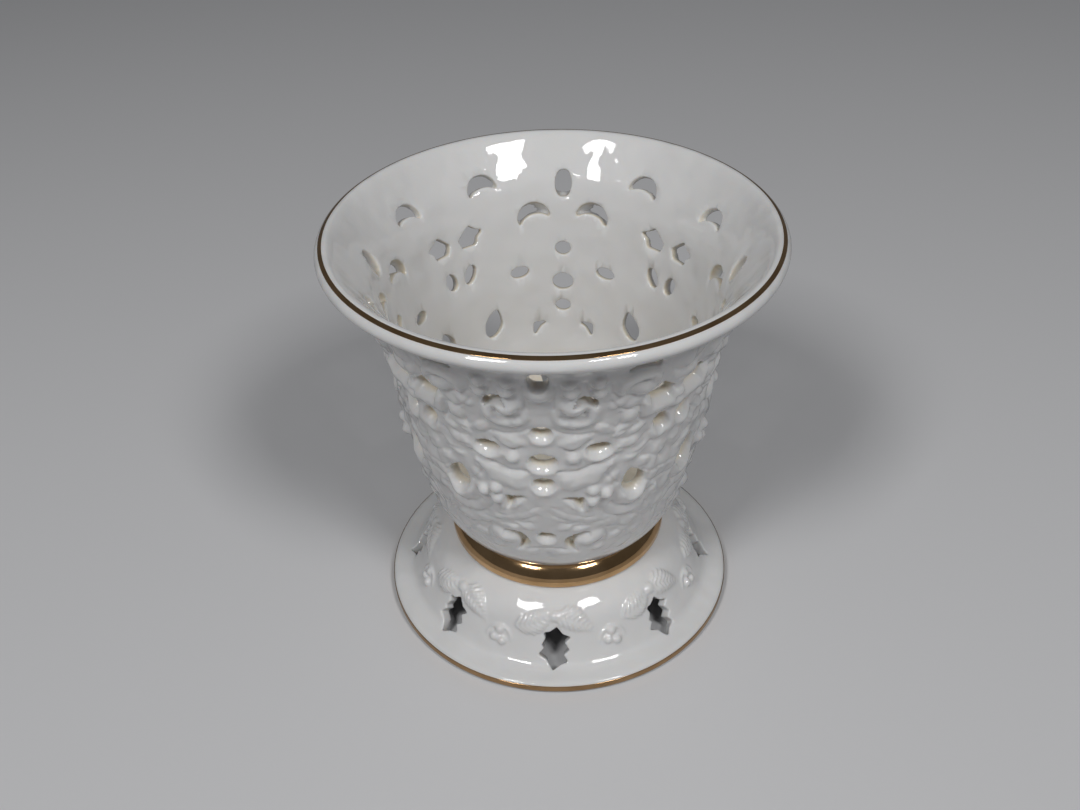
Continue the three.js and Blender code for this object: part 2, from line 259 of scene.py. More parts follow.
def plug(outline, tilt, depths, grows, sags):
    """A plug of one outline, which at each depth of the wall grows and hangs down by set amounts."""
    turn = math.radians(tilt)
    turned = [[math.cos(turn), math.sin(turn)], [-math.sin(turn), math.cos(turn)]]
    points = np.array(outline, float) @ turned
    ahead = np.roll(points, -1, axis=0) - np.roll(points, 1, axis=0)
    ahead /= np.hypot(*ahead.T)[:, None]
    outward = np.stack([ahead[:, 1], -ahead[:, 0]], axis=1)
    count = len(points)
    bpy.ops.object.select_all(action="DESELECT")
    bpy.ops.mesh.primitive_circle_add(vertices=count, radius=1, fill_type="NGON")
    tool = bpy.context.object
    bpy.ops.object.mode_set(mode="EDIT")
    for _ in depths[1:]:
        bpy.ops.mesh.extrude_region_move(TRANSFORM_OT_translate={"value": (0, 0, 1)})
    bpy.ops.mesh.select_all(action="SELECT")
    bpy.ops.mesh.normals_make_consistent(inside=False)
    bpy.ops.object.mode_set(mode="OBJECT")
    co = points_of(tool)
    level = np.rint(co[:, 2]).astype(int)
    start = math.atan2(co[0, 1], co[0, 0])
    bearing = np.arctan2(co[:, 1], co[:, 0])
    step = np.rint((bearing - start) * count / (2 * math.pi)).astype(int) % count
    flat = points[step] + outward[step] * np.array(grows)[level][:, None]
    flat[:, 1] -= np.array(sags)[level]
    set_points(tool, np.column_stack([flat, np.array(depths)[level]]))
    return tool


def apply(piece, kind, **values):
    bpy.ops.object.select_all(action="DESELECT")
    piece.select_set(True)
    bpy.context.view_layer.objects.active = piece
    modifier = piece.modifiers.new(kind.lower(), kind)
    for key, value in values.items():
        setattr(modifier, key, value)
    bpy.ops.object.modifier_apply(modifier=modifier.name)


def cast(name, wall, forms, tools, grain, softening):
    """Fuses moulded forms with their wall, cuts the piercings and softens every edge as glaze does."""
    body = joined([wall, forms], name)
    apply(body, "REMESH", mode="VOXEL", voxel_size=grain * MM)
    apply(body, "BOOLEAN", operation="DIFFERENCE", solver="MANIFOLD", object=tools)
    bpy.data.objects.remove(tools)
    apply(body, "REMESH", mode="VOXEL", voxel_size=grain * MM)
    apply(body, "SMOOTH", factor=0.5, iterations=softening)
    body.data.materials.clear()  # no empty slot stays ahead of the china's
    return body


def thinned(piece, limit):
    """Brings a piece down to a number of triangles."""
    piece.data.calc_loop_triangles()
    count = len(piece.data.loop_triangles)
    if count > limit:
        apply(piece, "DECIMATE", ratio=limit / count)


FOOT_SLOPE_LOW = 3.3
FOOT_SLOPE_HIGH = 19.38
foot_slope = [p for p in FOOT_OUTSIDE if FOOT_SLOPE_LOW < p[1] < FOOT_SLOPE_HIGH]


def foot_radius(height):
    return np.interp(height, [z for r, z in foot_slope], [r for r, z in foot_slope])


HOLLY = [  # the leaf's outline, degrees across and height
    (0.55, 12.7), (2.6, 11.0), (5.55, 10.2), (3.2, 9.0), (4.7, 7.3), (2.7, 6.3), (4.1, 4.9),
    (1.6, 4.5), (-0.8, 3.9), (-2.9, 5.4), (-5.6, 6.3), (-3.8, 7.7), (-4.6, 8.4), (-3.4, 10.0),
    (-4.2, 11.3), (-1.8, 11.6),
]
HOLLY_SPREAD = 1.14  # softening closes the cut again by about this much
HOLLY_RADIUS = 38
HOLLY_HEIGHT = 8.2
FOOT_DEPTHS = [-5.0, -3.2, -2.6, -1.0, -0.3, 0.1, 1.5]
FOOT_GROWS = [0.15, 0.1, 0.0, 0.0, 0.0, 0.12, 0.4]

# form, degrees from a cut leaf's middle, height, tilt
FOOT_RELIEF = [
    (leaf(11.6, 5.6, 0.9, 0.3, ribs=9, bend=-1.2, wave_rise=0.62), 8.4, 13.7, -26),
    (leaf(11.6, 5.6, 0.9, 0.3, ribs=9, bend=1.2, wave_rise=0.62), -8.4, 13.7, 26),
    (ball(3.4, 3.0, 0.95), 0, 15.0, 0),
    (vine([(-3.4, -2.4), (-2.8, 0.0), (0.0, 1.2), (2.8, 0.0), (3.4, -2.4)], 0.9, 0.6), 22.5, 10.4, 0),
    (ball(2.4, 2.4, 1.15), 22.4, 10.3, 0),
    (ball(2.4, 2.4, 1.15), 20.6, 8.4, 0),
    (ball(2.4, 2.4, 1.15), 24.1, 7.9, 0),
]

foot_turns = [FOOT_LEAF_TURN + number * 360 / FOOT_LEAVES for number in range(FOOT_LEAVES)]
holly_flat = [(math.radians(a) * HOLLY_RADIUS * HOLLY_SPREAD, (z - HOLLY_HEIGHT) * HOLLY_SPREAD)
              for a, z in reversed(HOLLY)]
holly_plug = plug(holly_flat, 0, FOOT_DEPTHS, FOOT_GROWS, [0] * len(FOOT_DEPTHS))
foot_tools = [set_on(holly_plug, foot_radius, 0, HOLLY_HEIGHT, 0)]
foot_forms = [set_on(form, foot_radius, *place) for form, *place in FOOT_RELIEF]

foot_outline = refined(FOOT_OUTSIDE, FOOT_OUTSIDE_SPACING) + refined(FOOT_INSIDE, FOOT_INSIDE_SPACING)
foot_wall = spun("pierced_foot_shown", foot_outline, FOOT_STEPS)
foot = cast("pierced_foot_shown", foot_wall, wrapped(foot_forms, foot_radius, foot_turns, False),
            wrapped(foot_tools, foot_radius, foot_turns, False), FOOT_GRAIN, FOOT_SOFTENING)
thinned(foot, FOOT_TRIANGLES)
co = points_of(foot)
co[:, 2] = np.maximum(co[:, 2], 0)  # it stands flat on its rest ring
set_points(foot, co)
bpy.ops.object.shade_smooth()


CHINA_SHADE = (0.755, 0.75, 0.745, 1)
CHINA_WHITE = (0.8, 0.797, 0.79, 1)
POOLED_GLAZE_AND_SHADE = (0.78, 0.715, 0.59, 1)  # warm tan where a piece's "pierced" attribute says: partly glaze lying thick, partly painted shade


def china_material():
    material = bpy.data.materials.new("white_china")
    material.use_nodes = True
    nodes = material.node_tree.nodes
    links = material.node_tree.links
    shader = nodes["Principled BSDF"]
    shader.inputs["Roughness"].default_value = 0.55
    shader.inputs["Coat Weight"].default_value = 1.0
    shader.inputs["Coat Roughness"].default_value = 0.04
    shader.inputs["Coat IOR"].default_value = 1.52
    shader.inputs["Subsurface Weight"].default_value = 0.3
    shader.inputs["Subsurface Radius"].default_value = (1.0, 0.78, 0.6)
    shader.inputs["Subsurface Scale"].default_value = 0.0025
    place = nodes.new("ShaderNodeTexCoord")
    cloud = nodes.new("ShaderNodeTexNoise")
    cloud.inputs["Scale"].default_value = 28
    cloud.inputs["Detail"].default_value = 4
    links.new(place.outputs["Object"], cloud.inputs["Vector"])
    tone = nodes.new("ShaderNodeValToRGB")
    tone.color_ramp.elements[0].position = 0.3
    tone.color_ramp.elements[0].color = CHINA_SHADE
    tone.color_ramp.elements[1].position = 0.7
    tone.color_ramp.elements[1].color = CHINA_WHITE
    links.new(cloud.outputs["Fac"], tone.inputs["Fac"])
    # Painted shade: the "pierced" attribute mixes a warm tan into the china where shade and light bounced
    # inside the china fall, in the piercings and low in the bowl
    pierced = nodes.new("ShaderNodeAttribute")
    pierced.attribute_name = "pierced"
    glaze = nodes.new("ShaderNodeMix")
    glaze.data_type = "RGBA"
    glaze.inputs["B"].default_value = POOLED_GLAZE_AND_SHADE
    links.new(pierced.outputs["Fac"], glaze.inputs["Factor"])
    links.new(tone.outputs["Color"], glaze.inputs["A"])
    links.new(glaze.outputs["Result"], shader.inputs["Base Color"])
    wave = nodes.new("ShaderNodeTexNoise")
    wave.inputs["Scale"].default_value = 210
    wave.inputs["Detail"].default_value = 2
    links.new(place.outputs["Object"], wave.inputs["Vector"])
    swell = nodes.new("ShaderNodeTexNoise")
    swell.inputs["Scale"].default_value = 105
    swell.inputs["Detail"].default_value = 1
    links.new(place.outputs["Object"], swell.inputs["Vector"])
    slow = nodes.new("ShaderNodeBump")
    slow.inputs["Strength"].default_value = 0.5
    slow.inputs["Distance"].default_value = 0.0012
    links.new(swell.outputs["Fac"], slow.inputs["Height"])
    bump = nodes.new("ShaderNodeBump")
    bump.inputs["Strength"].default_value = 0.35
    bump.inputs["Distance"].default_value = 0.0002
    links.new(wave.outputs["Fac"], bump.inputs["Height"])
    links.new(slow.outputs["Normal"], bump.inputs["Normal"])
    links.new(bump.outputs["Normal"], shader.inputs["Normal"])
    links.new(bump.outputs["Normal"], shader.inputs["Coat Normal"])
    return material


china = china_material()
foot.data.materials.append(china)
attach(foot, "root")
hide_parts("pierced_foot")


# Gold line on the foot: one band of liquid gold brushed round the edge over the fired
# glaze and fired again, so thin that it follows the edge's own rounding.
FOOT_EDGE_TOP = 4
GOLD_FOOT_LOW = 1.0
GOLD_FOOT_HIGH = 2.8
GOLD_FOOT_INNER = 46
GOLD_PROUD = 0.06
GOLD_SUNK = 0.25
GOLD_STEPS = 256
GOLD_SHADE = (0.52, 0.32, 0.15, 1)
GOLD_BRIGHT = (0.75, 0.49, 0.26, 1)


def gold_material():
    material = bpy.data.materials.new("gold_lustre")
    material.use_nodes = True
    nodes = material.node_tree.nodes
    links = material.node_tree.links
    shader = nodes["Principled BSDF"]
    shader.inputs["Metallic"].default_value = 1.0
    place = nodes.new("ShaderNodeTexCoord")
    brush = nodes.new("ShaderNodeTexNoise")
    brush.inputs["Scale"].default_value = 140
    brush.inputs["Detail"].default_value = 6
    links.new(place.outputs["Object"], brush.inputs["Vector"])
    tone = nodes.new("ShaderNodeValToRGB")
    tone.color_ramp.elements[0].position = 0.3
    tone.color_ramp.elements[0].color = GOLD_SHADE
    tone.color_ramp.elements[1].position = 0.72
    tone.color_ramp.elements[1].color = GOLD_BRIGHT
    links.new(brush.outputs["Fac"], tone.inputs["Fac"])
    links.new(tone.outputs["Color"], shader.inputs["Base Color"])
    polish = nodes.new("ShaderNodeMapRange")
    polish.inputs["To Min"].default_value = 0.05
    polish.inputs["To Max"].default_value = 0.15
    links.new(brush.outputs["Fac"], polish.inputs["Value"])
    links.new(polish.outputs["Result"], shader.inputs["Roughness"])
    ripple = nodes.new("ShaderNodeTexNoise")
    ripple.inputs["Scale"].default_value = 420
    links.new(place.outputs["Object"], ripple.inputs["Vector"])
    bump = nodes.new("ShaderNodeBump")
    bump.inputs["Strength"].default_value = 0.25
    bump.inputs["Distance"].default_value = 0.00012
    links.new(ripple.outputs["Fac"], bump.inputs["Height"])
    links.new(bump.outputs["Normal"], shader.inputs["Normal"])
    return material


def gold_band(name, outline, is_gilded):
    """A thin closed band that lies on a stretch of an outline."""
    points = np.array(outline)
    ahead = np.gradient(points, axis=0)
    ahead /= np.hypot(*ahead.T)[:, None]
    outward = np.stack([ahead[:, 1], -ahead[:, 0]], axis=1)
    chosen = [i for i, (r, z) in enumerate(points) if is_gilded(r, z)]
    over = [tuple(points[i] + outward[i] * GOLD_PROUD) for i in chosen]
    under = [tuple(points[i] - outward[i] * GOLD_SUNK) for i in reversed(chosen)]
    band = spun(name, over + under + over[:1], GOLD_STEPS)
    bpy.ops.object.shade_smooth()
    return band


gold = gold_material()
foot_edge = refined([p for p in FOOT_OUTSIDE if p[1] < FOOT_EDGE_TOP], 0.12)
foot_line = gold_band("gold_foot_line_shown", foot_edge,
                      lambda r, z: GOLD_FOOT_LOW <= z <= GOLD_FOOT_HIGH and r > GOLD_FOOT_INNER)
foot_line.data.materials.append(gold)
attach(foot_line, "root")
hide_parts("gold_foot_line")


# Luting slip: a ring of the same clay, brushed on wet, that holds the cup to the foot.
# The bead hides it, so it keeps its plain shape and has a dry, unglazed surface.
SLIP_SHADE = (0.58, 0.53, 0.45, 1)
SLIP_PALE = (0.72, 0.67, 0.58, 1)


def slip_material():
    material = bpy.data.materials.new("bare_clay")
    material.use_nodes = True
    nodes = material.node_tree.nodes
    links = material.node_tree.links
    shader = nodes["Principled BSDF"]
    shader.inputs["Roughness"].default_value = 0.85
    place = nodes.new("ShaderNodeTexCoord")
    grain = nodes.new("ShaderNodeTexNoise")
    grain.inputs["Scale"].default_value = 900
    grain.inputs["Detail"].default_value = 8
    links.new(place.outputs["Object"], grain.inputs["Vector"])
    tone = nodes.new("ShaderNodeValToRGB")
    tone.color_ramp.elements[0].color = SLIP_SHADE
    tone.color_ramp.elements[1].color = SLIP_PALE
    links.new(grain.outputs["Fac"], tone.inputs["Fac"])
    links.new(tone.outputs["Color"], shader.inputs["Base Color"])
    bump = nodes.new("ShaderNodeBump")
    bump.inputs["Strength"].default_value = 0.5
    bump.inputs["Distance"].default_value = 0.0001
    links.new(grain.outputs["Fac"], bump.inputs["Height"])
    links.new(bump.outputs["Normal"], shader.inputs["Normal"])
    return material


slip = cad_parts["luting_slip"]
slip.data.materials.clear()
slip.data.materials.append(slip_material())


# Waist bead: a half-round china ring laid round the joint, glazed and then gilded all
# over. Its brushed gold is a little uneven, with the glaze's ripple under it.
BEAD_BORE = 25.86
BEAD_FOOT = 19.42
BEAD_TOP = 25.22
BEAD_STEPS = 256
BEAD_ROUND = [
    (BEAD_BORE, BEAD_FOOT), (28.0, 19.43), (28.38, 19.52), (28.55, 19.8), (28.6, 20.3), (28.63, 21.0),
    (28.62, 21.75), (28.48, 22.25), (28.28, 22.7), (28.03, 23.15), (27.75, 23.56), (27.44, 23.95),
    (27.09, 24.31), (26.72, 24.64), (26.31, 24.93), (BEAD_BORE, BEAD_TOP),
]
bead_outline = refined(BEAD_ROUND, 0.3)
bead = spun("waist_bead_shown", bead_outline + bead_outline[:1], BEAD_STEPS)
bpy.ops.object.shade_smooth()
bead.data.materials.append(gold)
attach(bead, "root")
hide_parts("waist_bead")


# Pierced cup: slip-cast bone-white china, smooth inside and moulded outside with scrolls,
# holly leaves and berries in four like panels. The piercings are cut by hand through the
# leather-hard wall from outside, each with a wide bevelled mouth that the glaze rounds.
CUP_OUTSIDE = [
    (0.0, 24.0), (22.6, 24.0), (22.8, 23.8), (22.8, 20.9), (23.3, 20.44), (25.2, 20.42), (25.75, 20.9),
    (25.8, 24.6), (26.3, 25.5), (28.2, 27.3), (30.1, 29.8), (31.9, 33.5), (33.4, 38.0), (34.8, 44.0),
    (36.1, 50.0), (37.3, 56.0), (38.2, 63.0), (38.9, 70.0), (40.0, 78.0), (41.3, 85.0), (43.2, 92.0),
    (45.4, 98.0), (46.6, 99.9), (48.2, 101.55), (50.0, 102.75), (51.6, 103.5), (52.6, 104.1),
    (53.25, 104.72), (53.58, 105.3), (53.62, 105.85), (53.42, 106.4), (53.0, 106.95), (52.45, 107.4),
    (51.85, 107.78), (51.3, 108.0), (50.8, 108.03), (50.2, 107.6),
]
CUP_INSIDE = [
    (49.4, 106.85), (48.2, 105.4), (46.65, 103.4), (44.85, 101.0), (42.7, 98.0), (40.0, 92.0), (38.3, 85.0),
    (37.0, 78.0), (35.8, 70.0), (35.1, 63.0), (34.3, 56.0), (33.1, 50.0), (31.8, 44.0), (30.4, 38.0),
    (28.6, 33.0), (26.9, 29.8), (25.0, 27.9), (22.4, 27.1), (20.0, 27.0), (0.0, 27.0),
]
PANELS = 4
PANEL_TURN = -4.5
CUP_SPACING = 0.6
CUP_STEPS = 256
CUP_GRAIN = 0.38
CUP_SOFTENING = 3
CUP_TRIANGLES = 196000
CUP_SLOPE_LOW = 24.5
CUP_SLOPE_HIGH = 101.8
cup_slope = [p for p in CUP_OUTSIDE if CUP_SLOPE_LOW < p[1] < CUP_SLOPE_HIGH]


def cup_radius(height):
    return np.interp(height, [z for r, z in cup_slope], [r for r, z in cup_slope])


def oval(width, height):
    bearings = np.linspace(0, 2 * math.pi, 28, False)
    return [(width / 2 * math.cos(a), height / 2 * math.sin(a)) for a in bearings]


def spear(width, height, bluntness=0.75):
    """A pointed oval."""
    bearings = np.linspace(-1.5, 1.5, 15)
    half = [(width / 2 * math.cos(a) ** bluntness, height / 2 * math.sin(a)) for a in bearings]
    return half + [(-x, -y) for x, y in half]


DROP_TAPER = 0.42


def drop(width, height):
    """Round below, drawn up to a point."""
    ring = []
    for a in np.linspace(0, 2 * math.pi, 30, False):
        x, y = math.cos(a), math.sin(a)
        ring.append((width / 2 * x * (1 - DROP_TAPER * max(y, 0) ** 1.1), height / 2 * y))
    return ring


OUTER_HORN_CUT = 0.06
INNER_HORN_CUT = 0.05


def arch(radius, thickness, tongue):
    """A crescent with its horns down, round a tongue of clay that stays."""
    below = tongue - (radius - thickness)
    y = -(radius**2 - tongue**2 + below**2) / (2 * below)
    outer_end = math.asin(y / radius) + OUTER_HORN_CUT
    inner_end = math.asin((y + below) / tongue) + INNER_HORN_CUT
    outer = [(radius * math.cos(a), radius * math.sin(a))
             for a in np.linspace(outer_end, math.pi - outer_end, 24)]
    inner = [(tongue * math.cos(a), tongue * math.sin(a) - below)
             for a in np.linspace(math.pi - inner_end, inner_end, 16)]
    return outer + inner


def cornered(corners, rounding=0.16):
    """Straight sides between corners, which are a little rounded."""
    ring = []
    before = corners[-1:] + corners[:-1]
    after = corners[1:] + corners[:1]
    for (x0, y0), (x1, y1), (x2, y2) in zip(before, corners, after):
        ring.append((x1 + (x0 - x1) * rounding / 2, y1 + (y0 - y1) * rounding / 2))
        ring.append((x1 + (x0 + x2 - 2 * x1) * rounding / 12, y1 + (y0 + y2 - 2 * y1) * rounding / 12))
        ring.append((x1 + (x2 - x1) * rounding / 2, y1 + (y2 - y1) * rounding / 2))
    return ring


KITE = [(-1.5, -2.8), (2.9, -2.8), (3.7, -0.4), (0.1, 2.8), (-1.6, 1.3), (-3.8, 0.6), (-2.0, -0.8)]
WEDGE = [(1.9, -3.5), (1.8, 1.0), (-2.5, 1.4), (-0.1, -0.4)]

# outline, degrees from the panel's middle, height and tilt, as they open on the inner wall, and
# how much of the common growth and sag each takes towards the outside. Side ones have a mirror twin.
PIERCINGS = [
    (spear(4.2, 6.8), 0, 97.0, 0, 0.6, -1.5),
    (arch(4.35, 3.1, 5.0), 11.1, 88.6, -14, -1.2, 1.3),
    (arch(4.05, 3.0, 5.4), 29.1, 97.0, -8, -1.1, 0.0),
    (cornered(KITE), 37.5, 87.4, 0, 1, 1),
    (oval(4.0, 3.6), 0, 80.4, 0, 1, 1),
    (spear(3.3, 5.3, 0.9), 40.3, 77.2, 24, 1, 1),
    (oval(5.0, 3.2), 18.3, 74.3, -8, 1, 1),
    (oval(5.5, 4.8), 0, 71.0, 0, 1, 1),
    (oval(4.1, 3.4), 0, 63.9, 0, 1, 1),
    (drop(5.2, 8.3), 32.1, 60.8, 16, 1, 1),
    (cornered(WEDGE), 10.6, 57.8, 0, 1, 1),
    (oval(3.6, 2.8), 0, 44.6, 0, 1, 1),
    (arch(3.9, 1.9, 4.4), 14.6, 41.7, 72, 1, 1),
]
MOUTH_DEPTH = 1  # from here outwards a piercing grows and sags by its own amounts
CUP_DEPTHS = [-3.0, -0.3, 0.05, 0.6, 1.5, 2.3, 2.8, 3.3, 4.0, 5.5]
CUP_GROWS = [0.25, 0.2, 0.0, 0.0, 0.05, 0.15, 0.3, 0.5, 0.8, 1.1]
CUP_SAGS = [0.0, 0.0, 0.0, 0.0, 0.1, 0.35, 0.55, 0.8, 1.15, 1.5]

CUP_FLOOR = 27.2
cup_hollow = sorted(p[::-1] for p in CUP_INSIDE if p[1] > CUP_FLOOR)  # heights and radii above the floor


def cup_inner(height):
    return np.interp(height, [z for z, r in cup_hollow], [r for z, r in cup_hollow])


panel_turns = [PANEL_TURN + number * 360 / PANELS for number in range(PANELS)]
middle_tools, side_tools = [], []
for outline, across, height, tilt, growth, sag in PIERCINGS:
    grows = [grow * growth if depth > MOUTH_DEPTH else grow for depth, grow in zip(CUP_DEPTHS, CUP_GROWS)]
    tool = plug(outline, tilt, CUP_DEPTHS, grows, [sink * sag for sink in CUP_SAGS])
    set_on(tool, cup_inner, across, height, 0)
    (side_tools if across else middle_tools).append(tool)
cup_tools = joined([wrapped(middle_tools, cup_inner, panel_turns, False),
                    wrapped(side_tools, cup_inner, panel_turns, True)], "cup_tools")


MOUND_SPREAD = 1.12
MOUND_FADE = 2.0


def mound(width, height, rise):
    """A soft lobe of leafwork or a lip of clay."""
    return ball(width * MOUND_SPREAD, height * MOUND_SPREAD, rise, MOUND_FADE)


def slab(corners, rise, bevel=1.0):
    """A flat-topped pad with rounded shoulders."""
    grows = [0.0, 0.0, -0.3 * bevel, -bevel]
    return plug(cornered(corners), 0, [-1.0, 0.0, rise * 0.7, rise], grows, [0] * 4)


BROAD_LEAF = [
    (-5.4, -3.2), (-2.8, -4.1), (-0.4, -2.1), (2.9, -2.2), (4.1, 0.2), (6.7, 2.4), (6.2, 4.2),
    (2.0, 2.7), (-1.8, 0.8), (-5.3, 0.9),
]

# form, degrees from the panel's middle, height, tilt
RELIEF = [
    # four pearls under the lip
    (ball(3.3, 2.8, 1.3), 8.3, 95.6, 0),
    (ball(3.6, 3.0, 1.6), 8.9, 92.9, 0),
    (ball(3.1, 3.9, 1.5), 16.2, 95.5, 0),
    (ball(3.3, 2.8, 1.5), 16.8, 91.9, 0),
    # tongue in the middle arch, and the band that curls round under it
    (mound(6.4, 5.8, 2.0), 9.2, 88.0, 0),
    (mound(4.3, 2.9, 1.14), 6.9, 83.3, -16),
    (mound(2.8, 5.4, 1.07), 15.7, 84.8, -4),
    (vine([(-3.7, 2.2), (-4.1, 0.0), (-3.1, -1.8), (-1.3, -2.7), (0.8, -2.8), (2.8, -2.6),
          (4.1, -1.0), (4.3, 1.6), (3.4, 3.4)], 2.1, 0.85), 10.0, 85.0, 0),
    # big tongue in the upper arch: a knob inside a hooked band
    (vine([(-4.2, -2.4), (-4.8, 0.4), (-3.4, 2.6), (-0.6, 3.5), (2.2, 2.8), (4.0, 0.6),
          (3.6, -1.8)], 2.7, 1.33), 29.2, 91.6, 0),
    (mound(5.6, 4.2, 1.4), 30.2, 90.4, 0),
    # acanthus lobes between them
    (leaf(5.4, 2.3, 0.87), 23.2, 86.9, 18),
    (mound(4.9, 4.0, 0.87), 27.0, 82.2, 0),
    (leaf(5.4, 2.2, 0.74), 27.6, 86.0, 30),
    (leaf(6.4, 3.0, 0.94), 19.6, 79.8, -38),
    (leaf(6.0, 2.6, 0.81), 25.2, 78.1, 22),
    (leaf(5.8, 2.4, 0.74), 31.2, 77.6, 58),
    (leaf(6.0, 2.4, 0.74), 30.2, 73.6, 52),
    (leaf(5.6, 2.4, 0.67), 26.4, 73.2, 44),
    (leaf(5.0, 2.0, 0.67), 33.4, 70.4, 48),
    # shelf of the kite
    (slab([(-5.0, 2.9), (-4.4, -2.6), (5.6, -2.9), (3.0, 2.6)], 1.17), 37.8, 82.9, 0),
    # lips of clay under the middle piercings
    (mound(5.8, 5.2, 1.7), 0, 92.6, 0),
    (mound(5.7, 5.1, 1.01), 0, 78.1, 0),
    (mound(7.3, 5.7, 1.07), 0, 68.9, 0),
    (mound(6.1, 5.2, 1.07), 0, 61.7, 0),
    (mound(5.5, 5.0, 1.07), 0, 42.4, 0),
    (mound(7.3, 5.2, 1.14), 18.2, 71.9, -4),
    (mound(5.0, 5.4, 1.07), 39.7, 73.9, 10),
    (mound(6.8, 9.2, 1.27), 32.3, 56.2, 12),
    (mound(6.2, 2.9, 1.07), 12.5, 55.2, -36),
    (mound(6.8, 4.6, 1.27), 17.6, 42.0, 30),
    # wing and pearl by the middle piercings
    (leaf(8.4, 3.6, 0.78, bend=0.6), 10.6, 76.7, 22),
    (ball(3.1, 3.1, 1.25), 9.9, 71.4, 0),
    # broad leaf over the berries, and the berries
    (slab(BROAD_LEAF, 0.62, 0.7), 14.0, 65.0, 0),
    (mound(9.0, 4.4, 0.8), 12.0, 63.6, 22),
    (mound(8.0, 3.2, 0.78), 18.6, 66.2, 24),
    (leaf(5.0, 2.2, 0.60), 23.9, 63.6, 62),
    (ball(3.3, 3.2, 1.65), 16.9, 60.6, 0),
    (ball(3.4, 3.3, 1.65), 21.6, 58.9, 0),
    (ball(3.3, 3.2, 1.65), 16.8, 57.0, 0),
    # collar round the drop, and leaves towards the ridge
    (vine([(-5.2, 3.6), (-4.6, 0.4), (-2.0, -1.6), (1.2, -2.0), (4.0, -0.6),
          (5.6, 2.6)], 2.1, 0.4), 32.3, 50.9, 6),
    (leaf(5.8, 3.0, 0.69), 36.4, 65.6, -14),
    (mound(4.2, 2.6, 0.52), 29.6, 68.8, 10),
    (leaf(8.4, 3.8, 0.60, ribs=4), 41.6, 68.6, 62),
    (leaf(9.0, 2.6, 0.74), 40.8, 60.6, 68),
    (leaf(8.0, 2.4, 0.67), 38.6, 64.0, 80),
    (leaf(7.0, 3.0, 0.87), 43.0, 89.2, -52),
    # lower leaves, which sweep down and out from under the panel's middle
    (leaf(9.4, 2.8, 0.31), 9.0, 51.6, -30),
    (leaf(9.4, 2.8, 0.34, ribs=4), 17.6, 50.0, -24),
    (leaf(8.0, 2.6, 0.43, ribs=4), 25.6, 46.7, -5),
    (leaf(7.4, 2.7, 0.52, ribs=4), 33.4, 45.1, 8),
    (leaf(7.4, 2.6, 0.60), 42.0, 47.4, -40),
    (leaf(7.6, 2.4, 0.60), 42.4, 53.6, -60),
    (leaf(6.6, 2.4, 0.60), 29.0, 41.4, 24),
    (leaf(7.0, 2.6, 0.60), 37.6, 40.6, 34),
    (leaf(7.0, 2.4, 0.53), 33.0, 36.2, 30),
    (mound(3.6, 2.2, 0.55), 7.0, 47.1, 12),
    (mound(3.6, 2.2, 0.55), 12.6, 46.2, 20),
    (mound(4.2, 2.8, 0.81), 20.6, 38.0, 20),
    (leaf(5.0, 2.2, 0.53), 7.0, 36.6, -16),
    (leaf(6.0, 2.2, 0.53), 25.6, 36.6, 34),
]
RIDGE = [  # the same, on the ridge between two panels
    (ball(2.8, 2.2, 1.25), 45, 83.6, 0),
    (ball(2.8, 2.2, 1.25), 45, 80.8, 0),
    (mound(3.4, 5.6, 0.87), 45, 94.0, 0),
    (leaf(8.0, 3.2, 0.81), 45, 74.4, 90),
    (leaf(9.0, 3.2, 0.74), 45, 62.0, 90),
    (leaf(8.0, 3.0, 0.67), 45, 42.0, 90),
]

for form, *place in RELIEF + RIDGE:
    set_on(form, cup_radius, *place)
side_forms = [form for form, across, *rest in RELIEF if across]
middle_forms = [form for form, across, *rest in RELIEF if not across] + [row[0] for row in RIDGE]
cup_forms = joined([wrapped(side_forms, cup_radius, panel_turns, True),
                    wrapped(middle_forms, cup_radius, panel_turns, False)], "cup_forms")

